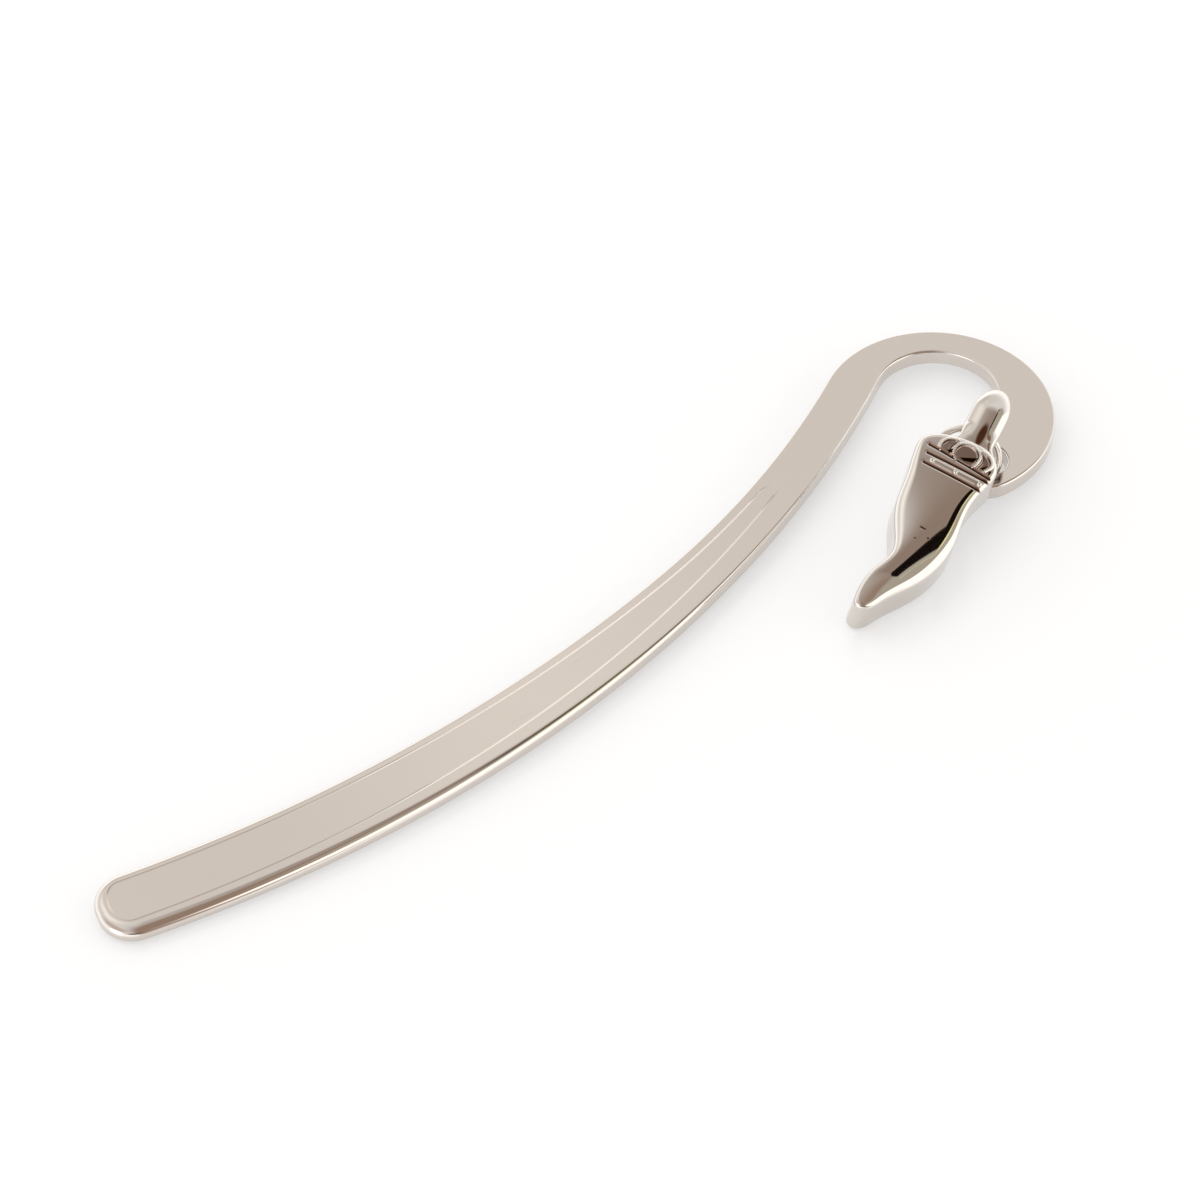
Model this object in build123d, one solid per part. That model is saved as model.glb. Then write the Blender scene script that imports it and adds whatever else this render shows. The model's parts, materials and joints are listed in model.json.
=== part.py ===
from build123d import *
import os
from math import asin, cos, degrees, radians, sin, sqrt

# A flat hook bookmark of cast and plated metal, lying on a table, with a horn charm on a jump ring.
# Lengths are in millimetres and angles in degrees.
# The plan is drawn about the crook's centre: +X runs from the blade's tip to the crook, +Z is up.

# Hook: one flat plate, a long S curve with a round crook
plate_thickness = 2.0
plate_edge_radius = 0.45
plate_back_chamfer = 0.3
crook_radius = 13.0
crook_eye_inset = 6.15
crook_eye_shift_x = 1.8
crook_eye_shift_y = 2.2
crook_end_angle = -94.0
ring_hole_wall = 1.8
ring_hole_chamfer = 0.3
far_leave_angle = 119.7
far_neck_radius = 113.5
far_neck_sweep_angle = 18.0
far_blade_radius = 171.3
far_blade_sweep_angle = 24.15
near_leave_angle = 120.5
tip_width = 7.95
tip_round_share = 0.93

# Engraved border of the blade, set in from its edges
border_far_margin = 1.1
border_near_margin_tip = 1.5
border_near_margin_neck = 2.5
border_line_width = 0.25
border_line_depth = 0.1
border_tip_length = 3.2
border_tip_bulge_share = 0.62
border_start_share = 0.185
border_spread_shares = (0.0, 0.3, 0.65, 1.0)

# Jump ring: round wire, resting on the table under the plate's end
ring_radius = 3.76
wire_radius = 0.38
ring_split = 0.08
ring_heading_angle = -38.7
ring_lean_angle = 70.3
ring_bail_angle = 68.4
ring_gap = 0.4
hole_gap = 0.3
bail_gap = 0.55

# Horn charm: a thick, softly edged casting with a crown-shaped head and a bail
horn_length = 24.6
crown_width = 9.2
charm_thickness = 5.4
charm_draft = 0.25
charm_face_radius = 0.7
charm_back_chamfer = 0.4
charm_heading_angle = 28.0
charm_pitch_angle = 10.0
charm_roll_angle = 12.0
bail_width = 3.9
bail_height = 4.6
bail_band = 1.05
bail_reach = 8.6
bail_root = 1.45
bail_overlap = 2.6
bail_edge_radius = 1.0
bail_slot_chamfer = 0.2
bail_seat = 3.2
bail_lift = 0.05
bail_offset = -0.4

# The horn's outline, as shares of its length and of the crown's width, from the waist round the crown
horn_outline_shares = (
    (0.715, 0.476),
    (0.850, 0.528),
    (0.919, 0.513),
    (0.959, 0.402),
    (0.996, 0.098),
    (0.998, -0.217),
    (0.965, -0.386),
    (0.898, -0.457),
    (0.821, -0.410),
    (0.728, -0.321),
    (0.634, -0.302),
    (0.504, -0.354),
    (0.366, -0.329),
    (0.199, -0.141),
    (0.085, 0.054),
    (0.011, 0.188),
    (0.000, 0.261),
    (0.011, 0.334),
    (0.039, 0.365),
    (0.106, 0.377),
    (0.211, 0.321),
    (0.321, 0.226),
    (0.439, 0.315),
    (0.561, 0.435),
)

# One overrun serves every cut
overrun = 1.0


def polar(radius, angle):
    """A point of the plan at a radius and an angle about the crook's centre."""
    return Vector(radius * cos(radians(angle)), radius * sin(radians(angle)))


# The crook's end is one round cap that touches the outer circle and the eye
eye_center = Vector(crook_eye_shift_x, crook_eye_shift_y)
crook_eye_radius = crook_radius - crook_eye_inset
end_direction = polar(1, crook_end_angle)
eye_behind = -end_direction.dot(eye_center)
end_radius = (
    crook_radius**2 + 2 * eye_behind * crook_radius + eye_center.length**2 - crook_eye_radius**2
) / (2 * (crook_radius + eye_behind + crook_eye_radius))
end_center = end_direction * (crook_radius - end_radius)
end_to_eye = (eye_center - end_center).normalized()
hole_radius = end_radius - ring_hole_wall


def hook_edges():
    """The far edge from crook to tip, the near edge from eye to tip, and the crook's three arcs."""
    far_start = polar(crook_radius, far_leave_angle)
    far_neck = JernArc(far_start, polar(1, far_leave_angle + 90), far_neck_radius, -far_neck_sweep_angle)
    far_blade = JernArc(far_neck @ 1, far_neck % 1, far_blade_radius, -far_blade_sweep_angle)
    near_start = eye_center + polar(crook_eye_radius, near_leave_angle)
    near_end = far_blade @ 1 + (far_blade % 1).rotate(Axis.Z, 90) * tip_width
    near_blade = TangentArc(near_start, near_end, tangent=polar(1, near_leave_angle + 90))
    outer = CenterArc((0, 0), crook_radius, crook_end_angle, far_leave_angle - crook_end_angle)
    touch_angle = degrees(asin(end_to_eye.Y))
    end_cap = CenterArc(end_center, end_radius, touch_angle, crook_end_angle + 360 - touch_angle)
    eye_start = touch_angle - 180
    eye = CenterArc(eye_center, crook_eye_radius, eye_start, near_leave_angle - eye_start)
    return far_neck, far_blade, near_blade, outer, end_cap, eye


def blade_border(far_edge, near_edge, inset):
    """One side of the engraved border line, a long band that narrows from the tip to the neck."""
    far_points = []
    near_points = []
    far_run = 1 - border_start_share - border_tip_length / far_edge.length
    near_run = 1 - border_start_share - border_tip_length / near_edge.length
    far_margin = inset + border_far_margin
    for spread in border_spread_shares:
        near_narrowing = (border_near_margin_neck - border_near_margin_tip) * spread
        near_margin = inset + border_near_margin_neck - near_narrowing
        far_spot = border_start_share + far_run * spread
        near_spot = border_start_share + near_run * spread
        far_points.append(far_edge @ far_spot + (far_edge % far_spot).rotate(Axis.Z, 90) * far_margin)
        near_points.append(near_edge @ near_spot + (near_edge % near_spot).rotate(Axis.Z, -90) * near_margin)
    tip_bulge = (far_edge % 1) * ((far_points[-1] - near_points[-1]).length / 2 * border_tip_bulge_share)
    neck_bulge = (far_edge % 0) * ((far_points[0] - near_points[0]).length / -2)
    tip_middle = (far_points[-1] + near_points[-1]) / 2 + tip_bulge
    neck_middle = (far_points[0] + near_points[0]) / 2 + neck_bulge
    far_line = Spline(*far_points)
    tip_line = ThreePointArc(far_points[-1], tip_middle, near_points[-1])
    near_line = Spline(*near_points)
    neck_line = ThreePointArc(far_points[0], neck_middle, near_points[0])
    return make_face([far_line, tip_line, near_line, neck_line])


def make_hook():
    """The plate, flat on its back: rounded edges, ring hole and engraved border."""
    far_neck, far_blade, near_blade, outer, end_cap, eye = hook_edges()
    tip_line = Line(far_blade @ 1, near_blade @ 1)
    outline = make_face([outer, far_neck, far_blade, tip_line, near_blade, eye, end_cap])
    tip_corners = outline.vertices().sort_by_distance(tip_line @ 0.5)[:2]
    outline = fillet(tip_corners, tip_round_share * tip_width / 2)
    plate = extrude(outline, plate_thickness)
    plate = chamfer(plate.faces().sort_by(Axis.Z)[0].edges(), plate_back_chamfer)
    plate = fillet(plate.faces().sort_by(Axis.Z)[-1].edges(), plate_edge_radius)
    hole = Cylinder(hole_radius, plate_thickness + 2 * overrun)
    plate -= Pos(end_center.X, end_center.Y, plate_thickness / 2) * hole
    rims = plate.edges().filter_by(GeomType.CIRCLE).sort_by_distance(end_center)[:2]
    plate = chamfer(rims, ring_hole_chamfer)
    far_edge = Wire([far_neck, far_blade])
    groove = blade_border(far_edge, near_blade, 0) - blade_border(far_edge, near_blade, border_line_width)
    cutter = extrude(groove, border_line_depth + overrun)
    return plate - Pos(0, 0, plate_thickness - border_line_depth) * cutter


def make_ring():
    """The jump ring in its own plane, with the fine split where its wire ends meet."""
    split_angle = degrees(ring_split / ring_radius)
    section = Plane.XZ * Pos(ring_radius, 0) * Circle(wire_radius)
    ring = revolve(section, Axis.Z, revolution_arc=360 - split_angle)
    return Rot(0, 0, split_angle / 2 - 90) * ring


def horn_face(growth):
    """The horn's outline grown by a width: a closed chain of tangent arcs, two for each step."""
    shape = [Vector(along * horn_length, across * crown_width) for along, across in horn_outline_shares]
    count = len(shape)
    headings = [(shape[(k + 1) % count] - shape[k - 1]).normalized() for k in range(count)]
    points = [shape[k] + headings[k].rotate(Axis.Z, 90) * growth for k in range(count)]
    arcs = []
    for k in range(count):
        following = (k + 1) % count
        step = points[following] - points[k]
        lean = step.dot(headings[k] + headings[following])
        bend = 2 * (1 - headings[k].dot(headings[following]))
        reach = (sqrt(lean**2 + bend * step.length**2) - lean) / bend
        joint = (points[k] + points[following] + (headings[k] - headings[following]) * reach) / 2
        arcs.append(TangentArc(points[k], joint, tangent=headings[k]))
        arcs.append(TangentArc(joint, points[following], tangent=arcs[-1] % 1))
    return make_face(arcs)


def make_charm():
    """The horn with its crowned head and its bail, lying on its flat back, which is wider by the draft."""
    horn = loft([horn_face(charm_draft), Pos(0, 0, charm_thickness) * horn_face(0)], ruled=True)
    horn = fillet(horn.faces().sort_by(Axis.Z)[-1].edges(), charm_face_radius)
    horn = chamfer(horn.faces().sort_by(Axis.Z)[0].edges(), charm_back_chamfer)
    bail_length = bail_overlap + bail_reach
    bail = extrude(Plane.XZ * SlotOverall(bail_length, bail_height), bail_width / 2, both=True)
    bail = fillet(bail.faces().sort_by(Axis.Y)[0].edges(), bail_edge_radius)
    bail = fillet(bail.faces().sort_by(Axis.Y)[-1].edges(), bail_edge_radius)
    slot_length = bail_reach - bail_root - bail_band
    slot = extrude(Plane.XZ * SlotOverall(slot_length, bail_height - 2 * bail_band), bail_width, both=True)
    bail -= Pos(bail_length / 2 - bail_band - slot_length / 2, 0, 0) * slot
    for side in (0, -1):
        slot_rim = bail.faces().sort_by(Axis.Y)[side].inner_wires()[0]
        bail = chamfer(slot_rim.edges(), bail_slot_chamfer)
    bail_middle = horn_length + bail_reach - bail_length / 2
    return horn + Pos(bail_middle, bail_offset, bail_lift + bail_height / 2) * bail


os.makedirs("parts", exist_ok=True)

# Hook on the table: its tip lies down and the ring's wire holds the crook up
tip_x = hook_edges()[1].bounding_box().min.X
rise = 2 * wire_radius + ring_gap
tilt = degrees(asin(rise / (end_center.X - tip_x)))
hook_place = Pos(tip_x, 0, 0) * Rot(0, -tilt, 0) * Pos(-tip_x, 0, 0)
hook = hook_place * make_hook()

# Ring through the hole: it leans, stands on the table and crosses the plate close to the hole's outer rim
hole_reach = end_center + end_direction * (hole_radius - wire_radius - hole_gap)
crossing = (hook_place * Pos(hole_reach.X, hole_reach.Y, plate_thickness / 2)).position
ring_x = Vector(cos(radians(ring_heading_angle)), sin(radians(ring_heading_angle)), 0)
ring_up = Vector(0, 0, sin(radians(ring_lean_angle)))
ring_y = ring_x.rotate(Axis.Z, 90) * cos(radians(ring_lean_angle)) + ring_up
ring_height = wire_radius + ring_radius * sin(radians(ring_lean_angle))
drop = (ring_height - crossing.Z) / sin(radians(ring_lean_angle))
half_chord = sqrt(ring_radius**2 - drop**2)
ring_center = crossing - ring_x * half_chord + ring_y * drop
ring_plane = Plane(ring_center, x_dir=ring_x, z_dir=ring_x.cross(ring_y))
ring = ring_plane.location * make_ring()

# Charm on the ring: its bail hangs on the wire and its tip is let down to the table
bail_spoke = ring_x * cos(radians(ring_bail_angle)) + ring_y * sin(radians(ring_bail_angle))
bail_point = ring_center + bail_spoke * ring_radius
wire_line = ring_x * sin(radians(ring_bail_angle)) - ring_y * cos(radians(ring_bail_angle))
seat_height = bail_lift + bail_height - bail_band - wire_radius - bail_gap
seat = Pos(horn_length + bail_seat, bail_offset, seat_height)
flat_charm = make_charm()
pitch = charm_pitch_angle
for step in range(5):
    charm_turn = Rot(0, 0, charm_heading_angle) * Rot(0, -pitch, 0) * Rot(charm_roll_angle, 0, 0)
    charm = Pos(bail_point) * charm_turn * seat.inverse() * flat_charm
    pitch += degrees(asin(charm.bounding_box().min.Z / (horn_length + bail_seat)))

# The row's frame: bottom centre of the whole part
box = Compound([hook, ring, charm]).bounding_box()
to_frame = Pos(-box.center().X, -box.center().Y, -box.min.Z)
export_step(to_frame * hook, "parts/hook_blade.step")
export_step(to_frame * ring, "parts/jump_ring.step")
export_step(to_frame * charm, "parts/horn_charm.step")
print("size", box.size, "tilt", tilt, "pitch", pitch)
print("crook centre", (to_frame * hook_place * Pos(0, 0, plate_thickness)).position)
print("ring_swing", (to_frame * Pos(crossing)).position, ring_x)
print("charm_swing", (to_frame * Pos(bail_point)).position, wire_line)
print("ring centre", (to_frame * Pos(ring_center)).position)
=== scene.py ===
# %% [markdown]
# # A hook bookmark with a horn charm
# The real one is a flat casting of zinc alloy with a bright nickel plating. A thin jump ring goes through
# the end of its crook and carries a small cast charm in the shape of a horn with a crown.
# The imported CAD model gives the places, and the sizes below repeat its own. Here each of the three pieces
# gets its finer form, and then come the plating, the table, the light and the camera.

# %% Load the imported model
import json
from math import atan2, cos, degrees, pi, radians, sin, sqrt

import bpy
import numpy as np
from mathutils import Matrix
from mathutils.geometry import delaunay_2d_cdt


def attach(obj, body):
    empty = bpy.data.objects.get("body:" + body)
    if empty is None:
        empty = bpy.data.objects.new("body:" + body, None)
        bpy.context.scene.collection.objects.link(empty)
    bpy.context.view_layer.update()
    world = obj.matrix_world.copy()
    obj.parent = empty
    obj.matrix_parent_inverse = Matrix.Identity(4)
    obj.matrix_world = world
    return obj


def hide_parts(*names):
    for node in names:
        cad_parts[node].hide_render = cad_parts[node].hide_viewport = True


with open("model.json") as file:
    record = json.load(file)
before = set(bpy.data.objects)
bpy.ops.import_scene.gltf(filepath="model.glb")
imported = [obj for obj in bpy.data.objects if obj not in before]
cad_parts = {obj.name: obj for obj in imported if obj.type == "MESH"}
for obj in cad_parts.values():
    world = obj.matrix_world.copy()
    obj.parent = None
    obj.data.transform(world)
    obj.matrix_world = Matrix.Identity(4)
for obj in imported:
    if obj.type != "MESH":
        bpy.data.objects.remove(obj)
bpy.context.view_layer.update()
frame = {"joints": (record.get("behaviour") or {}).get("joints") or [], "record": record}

joints = {joint["name"]: joint for joint in frame["joints"]}
MM = 0.001

# %% [markdown]
# ## Meshes with true normals
# Mirror-bright metal shows every small fault of its shading. A mesh could be subdivided until its
# averaged normals look smooth. Here the shapes follow formulas, so each point also gets its exact normal.

# %% Shells, rings and flat fillings
def new_shell():
    """An empty closed shell: points in millimetres, their normals, and faces."""
    return {"points": [], "normals": [], "faces": [], "count": 0}


def add_points(shell, points, normals):
    """Adds points to a shell and returns their numbers."""
    numbers = np.arange(shell["count"], shell["count"] + len(points))
    shell["points"].append(np.asarray(points, float))
    shell["normals"].append(np.asarray(normals, float))
    shell["count"] += len(points)
    return numbers


def join_rings(shell, rings):
    """Four-sided faces from each closed ring to the next, which run anticlockwise seen from outside."""
    for inner, outer in zip(rings, rings[1:]):
        quads = np.stack([inner, outer, np.roll(outer, -1), np.roll(inner, -1)], axis=1)
        shell["faces"].extend(quads.tolist())


def unit(vectors):
    """The same directions with length 1."""
    return vectors / np.linalg.norm(vectors, axis=-1, keepdims=True)


def inside(points, loops):
    """Which plan points lie inside the loops, where a loop in a loop is a hole."""
    starts = np.vstack(loops)
    ends = np.vstack([np.roll(loop, -1, axis=0) for loop in loops])
    rise = np.where(ends[:, 1] == starts[:, 1], 1.0, ends[:, 1] - starts[:, 1])
    found = []
    for batch in np.array_split(points, len(points) // 2000 + 1):
        x, y = batch[:, :1], batch[:, 1:]
        crosses = (starts[:, 1] > y) != (ends[:, 1] > y)
        left_of = x < starts[:, 0] + (y - starts[:, 1]) * (ends[:, 0] - starts[:, 0]) / rise
        found.append((crosses & left_of).sum(axis=1) % 2 == 1)
    return np.concatenate(found)


def fill_plan(loops, free_points=()):
    """Triangles inside closed plan loops, facing up, as numbers of the loops' and then the free points."""
    plan = np.vstack([*loops, np.reshape(free_points, (-1, 2))])
    edges = []
    for loop in loops:
        first = edges[-1][0] + 1 if edges else 0
        edges += [(first + k, first + (k + 1) % len(loop)) for k in range(len(loop))]
    made = delaunay_2d_cdt([tuple(point) for point in plan], edges, [], 0, 1e-7)
    source = np.array([numbers[0] for numbers in made[3]])
    corners = source[np.array(made[2])]
    a, b, c = plan[corners[:, 0]], plan[corners[:, 1]], plan[corners[:, 2]]
    area = (b[:, 0] - a[:, 0]) * (c[:, 1] - a[:, 1]) - (b[:, 1] - a[:, 1]) * (c[:, 0] - a[:, 0])
    corners[area < 0] = corners[area < 0][:, ::-1]
    return corners[inside((a + b + c) / 3, loops)]


def add_object(name, data):
    """A new object in the scene, at the origin."""
    made = bpy.data.objects.new(name, data)
    bpy.context.scene.collection.objects.link(made)
    return made


def make_piece(name, shells, place):
    """One smooth mesh object from shells, put in its place in the row frame by a 4 x 4 matrix in mm."""
    points = np.vstack([part for shell in shells for part in shell["points"]])
    normals = np.vstack([part for shell in shells for part in shell["normals"]])
    faces = []
    first = 0
    for shell in shells:
        faces += [[first + corner for corner in face] for face in shell["faces"]]
        first += shell["count"]
    points = (points @ place[:3, :3].T + place[:3, 3]) * MM
    normals = normals @ place[:3, :3].T
    mesh = bpy.data.meshes.new(name)
    mesh.from_pydata(points.tolist(), [], faces, shade_flat=False)
    mesh.validate()
    mesh.normals_split_custom_set_from_vertices(normals.tolist())
    print(name, len(points), "points", len(faces), "faces")
    return add_object(name, mesh)


# %% [markdown]
# ## Where the pieces lie
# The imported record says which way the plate's flat face looks, where the ring crosses the plate and where
# the bail sits on the ring. The plate's plan is drawn about the middle of its crook, as in the CAD model.

# %% The crook's sizes and the plate's place
plate_thickness = 2.0
crook_radius = 13.0
eye_radius = 6.85
eye_center = np.array([1.8, 2.2])
crook_end_angle = -94.0
ring_hole_wall = 1.8
wire_radius = 0.38
hole_gap = 0.3


def toward(angle):
    """A plan direction at an angle in degrees."""
    return np.array([cos(radians(angle)), sin(radians(angle))])


def angle_of(step):
    """The angle of a plan step in degrees."""
    return degrees(atan2(step[1], step[0]))


end_direction = toward(crook_end_angle)
eye_behind = -end_direction @ eye_center
end_radius = crook_radius**2 + 2 * eye_behind * crook_radius + eye_center @ eye_center - eye_radius**2
end_radius /= 2 * (crook_radius + eye_behind + eye_radius)
end_center = end_direction * (crook_radius - end_radius)
hole_radius = end_radius - ring_hole_wall
crossing = end_center + end_direction * (hole_radius - wire_radius - hole_gap)

plate_normal = np.array(frame["record"]["mounts"][0]["axis"])
plate_place = np.eye(4)
plate_place[:3, 0] = [plate_normal[2], 0, -plate_normal[0]]
plate_place[:3, 2] = plate_normal
ring_crossing = np.array(joints["ring_swing"]["pos_m"]) / MM
plate_place[:3, 3] = ring_crossing - plate_place[:3, :3] @ [*crossing, -plate_thickness / 2]
print("crook centre in mm", plate_place[:3, 3].round(3))

# %% [markdown]
# ## The plate's outline
# It is a chain of arcs: the crook's outer circle, two long arcs down the hollow edge, the round tip, one
# arc up the bulging edge, the eye, and the cap round the ring's hole. Each arc is worked out from the one
# before it, so the chain has no kinks.

# %% Sample the chain of arcs
far_leave_angle = 119.7
far_neck_radius, far_neck_sweep = 113.5, 18.0
far_blade_radius, far_blade_sweep = 171.3, 24.15
near_leave_angle = 120.5
tip_width = 7.95
tip_round_share = 0.93
tip_round = tip_round_share * tip_width / 2


def arc(center, radius, start, end, spacing):
    """Points of an arc and its normals away from the metal, which lies to the left of the way along it."""
    count = max(2, round(radians(abs(end - start)) * radius / spacing))
    angles = np.radians(np.linspace(start, end, count, endpoint=False))
    spokes = np.stack([np.cos(angles), np.sin(angles)], axis=1)
    return center + radius * spokes, spokes * np.sign(end - start)


far_start = crook_radius * toward(far_leave_angle)
neck_center = far_start + far_neck_radius * toward(far_leave_angle)
neck_turn = far_leave_angle + 180
blade_turn = neck_turn - far_neck_sweep
neck_end = neck_center + far_neck_radius * toward(blade_turn)
blade_center = neck_end - far_blade_radius * toward(blade_turn)
tip_turn = blade_turn - far_blade_sweep
far_end = blade_center + far_blade_radius * toward(tip_turn)
tip_heading, tip_across = toward(tip_turn - 90), toward(tip_turn)
near_end = far_end + tip_across * tip_width
near_start = eye_center + eye_radius * toward(near_leave_angle)
chord = near_end - near_start
near_inward = toward(near_leave_angle)
near_radius = chord @ chord / (2 * chord @ near_inward)
near_center = near_start + near_radius * near_inward

far_corner_reach = sqrt(far_blade_radius**2 + 2 * far_blade_radius * tip_round)
far_corner = far_end + tip_across * (far_corner_reach - far_blade_radius) - tip_heading * tip_round
from_near = near_end - tip_heading * tip_round - near_center
along = from_near @ tip_across
near_corner_step = along - sqrt(along**2 - from_near @ from_near + (near_radius - tip_round) ** 2)
near_corner = near_end - tip_heading * tip_round - tip_across * near_corner_step
far_touch = angle_of(far_corner - blade_center)
near_touch = angle_of(near_corner - near_center)
print("tip corners", far_corner.round(3), near_corner.round(3), "near radius", round(near_radius, 2))

# %% The whole outline, anticlockwise
touch_angle = angle_of(eye_center - end_center)
tip_angle = angle_of(tip_heading)
crook_step, blade_step, corner_step = 0.3, 0.6, 0.15
outline_arcs = [
    arc(np.zeros(2), crook_radius, crook_end_angle, far_leave_angle, crook_step),
    arc(neck_center, far_neck_radius, neck_turn, blade_turn, blade_step),
    arc(blade_center, far_blade_radius, blade_turn, far_touch % 360, blade_step),
    arc(far_corner, tip_round, far_touch % 360 - 180, tip_angle, corner_step),
    arc(near_corner, tip_round, tip_angle, near_touch % 360, corner_step),
    arc(near_center, near_radius, near_touch, angle_of(near_start - near_center), blade_step),
    arc(eye_center, eye_radius, near_leave_angle, touch_angle - 180, crook_step),
    arc(end_center, end_radius, touch_angle, crook_end_angle + 360, crook_step),
]
outline = np.vstack([points for points, normals in outline_arcs])
outline_normals = np.vstack([normals for points, normals in outline_arcs])
print("outline of", len(outline), "points, length and width", np.ptp(outline, axis=0).round(2))

# %% [markdown]
# ## Rounded edges
# A casting is tumbled and polished before it is plated, which rounds its edges, and the tip more than the
# crook. A bevel modifier would round them all alike. Here rings of points turn from the flat face down to
# the wall and on to the back, with sizes that grow towards the tip.

# %% Rings of a rounded wall
edge_round_places = (-112.0, -85.0, -60.0, -30.0, -14.0)
edge_rounds = (1.42, 1.1, 0.75, 0.45, 0.32)
edge_drops = (1.1, 0.95, 0.75, 0.45, 0.32)
back_rounds = (0.88, 0.75, 0.55, 0.35, 0.3)
near_side_extra = 0.18
top_turns = np.radians(np.linspace(0, 90, 11))
back_turns = np.radians(np.linspace(90, 180, 6))


def with_height(plan, height):
    """Plan points at a height, which is zero on the plate's face."""
    return np.column_stack([plan, np.broadcast_to(height, len(plan))])


def round_wall(shell, plan, plan_normals, sizes):
    """Adds a wall with a top's width and drop and a back's radius, and returns its first and last ring."""
    top_round, top_drop, back_round = (np.broadcast_to(size, len(plan)) for size in sizes)
    rings = []
    for turn in top_turns:
        rings.append((top_round * (1 - sin(turn)), -top_drop * (1 - cos(turn)), turn, top_drop / top_round))
    for turn in back_turns:
        height = back_round * (1 + cos(turn)) - plate_thickness
        rings.append((back_round * (1 - sin(turn)), height, turn, np.ones(len(plan))))
    numbers = []
    for inset, height, turn, steepness in rings:
        normals = with_height(plan_normals * (sin(turn) * steepness)[:, None], cos(turn))
        spots = with_height(plan - plan_normals * inset[:, None], height)
        numbers.append(add_points(shell, spots, unit(normals)))
    join_rings(shell, numbers)
    return numbers[0], numbers[-1]


def edge_size(sizes):
    """A size that changes along the blade, at each point of the outline."""
    return np.interp(outline[:, 0], edge_round_places, sizes)


hook_shell = new_shell()
side_share = 1 - near_side_extra - near_side_extra * outline_normals[:, 1]
edge_round, edge_drop = edge_size(edge_rounds) * side_share, edge_size(edge_drops) * side_share
edge_sizes = (edge_round, edge_drop, edge_size(back_rounds))
face_rim, back_rim = round_wall(hook_shell, outline, outline_normals, edge_sizes)
hole_rim_round, hole_step = 0.3, 0.12
hole_plan, hole_normals = arc(end_center, hole_radius, 360, 0, hole_step)
hole_face_rim, hole_back_rim = round_wall(hook_shell, hole_plan, hole_normals, [hole_rim_round] * 3)
print("rounded edges from", edge_round.min().round(2), "to", edge_round.max().round(2), "mm")

# %% [markdown]
# ## The engraved border
# A fine line runs round the blade, set in from its edges, with round ends. It could be painted, but a real
# groove catches the light on one side and goes dark on the other. A graver held at a slant cuts one wide
# wall and one steep wall, so the groove's bottom lies nearer to its far lip all the way round.

# %% The groove's two lips
border_far_margins, border_near_margins = (1.1, 1.1), (2.5, 1.5)
border_start_share = 0.185
border_tip_length = 3.2
border_tip_bulge, border_neck_bulge = 0.7, 1.0
border_steps, border_end_steps = 150, 28
groove_width = 0.22
far_neck_length = far_neck_radius * radians(far_neck_sweep)
far_length = far_neck_length + far_blade_radius * radians(far_blade_sweep)
near_sweep = angle_of(near_start - near_center) - angle_of(near_end - near_center)
near_length = near_radius * radians(near_sweep)


def far_edge(length):
    """The point of the hollow edge at a length from the crook, and the direction into the metal."""
    if length < far_neck_length:
        turn = neck_turn - degrees(length / far_neck_radius)
        return neck_center + far_neck_radius * toward(turn), toward(turn)
    turn = blade_turn - degrees((length - far_neck_length) / far_blade_radius)
    return blade_center + far_blade_radius * toward(turn), toward(turn)


def near_edge(length):
    """The point of the bulging edge at a length from the eye, and the direction into the metal."""
    turn = angle_of(near_start - near_center) - degrees(length / near_radius)
    return near_center + near_radius * toward(turn), -toward(turn)


def border_side(edge, edge_length, margins, inset):
    """One long side of the border, from the neck to the tip."""
    start = border_start_share * edge_length
    side = []
    for spread in np.linspace(0, 1, border_steps):
        margin = inset + margins[0] + (margins[1] - margins[0]) * spread
        point, inward = edge(start + (edge_length - border_tip_length - start) * spread)
        side.append(point + inward * margin)
    return np.array(side)


def border_end(first, last, heading, bulge):
    """Half an ellipse from one long side to the other, bulging along the heading."""
    middle, half = (first + last) / 2, np.linalg.norm(last - first) / 2
    return [
        middle + (first - middle) * cos(turn) + heading * half * bulge * sin(turn)
        for turn in np.linspace(0, pi, border_end_steps)[1:-1]
    ]


def border_row(inset):
    """One closed row round the blade, anticlockwise."""
    far_side = border_side(far_edge, far_length, border_far_margins, inset)
    near_side = border_side(near_edge, near_length, border_near_margins, inset)
    tip_end = border_end(far_side[-1], near_side[-1], tip_heading, border_tip_bulge)
    neck_end_row = border_end(near_side[0], far_side[0], -toward(neck_turn - 90), border_neck_bulge)
    return np.vstack([far_side, tip_end, near_side[::-1], neck_end_row])


inner_lip, outer_lip = border_row(groove_width), border_row(0.0)
print("border of", len(inner_lip), "points")

# %% Rows down one wall of the groove and up the other
groove_places = (-112.0, -92.0, -75.0, -25.0, -20.5)
groove_depths = (0.028, 0.032, 0.05, 0.05, 0.006)
lip_share, bottom_share = 0.06, 0.03
slant = 0.25
across = outer_lip - inner_lip
outward = unit(across)
depth = np.interp(inner_lip[:, 0], groove_places, groove_depths)
bottom = 0.5 + slant * outward[:, 1]
level = np.zeros(len(bottom))
inner_slope = depth / (bottom * groove_width)
outer_slope = -depth / ((1 - bottom) * groove_width)
groove_rows = (
    (level, level),
    (level + lip_share, inner_slope),
    (bottom - bottom_share, inner_slope),
    (bottom + bottom_share, outer_slope),
    (level + 1 - lip_share, outer_slope),
    (level + 1, level),
)
row_numbers = []
for share, slope in groove_rows:
    fall = depth * np.minimum(share / bottom, (1 - share) / (1 - bottom))
    normals = unit(with_height(outward * slope[:, None], 1.0))
    spots = with_height(inner_lip + across * share[:, None], -fall)
    row_numbers.append(add_points(hook_shell, spots, normals))
join_rings(hook_shell, row_numbers)
print("groove from", depth.min(), "to", depth.max(), "mm deep")

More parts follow.
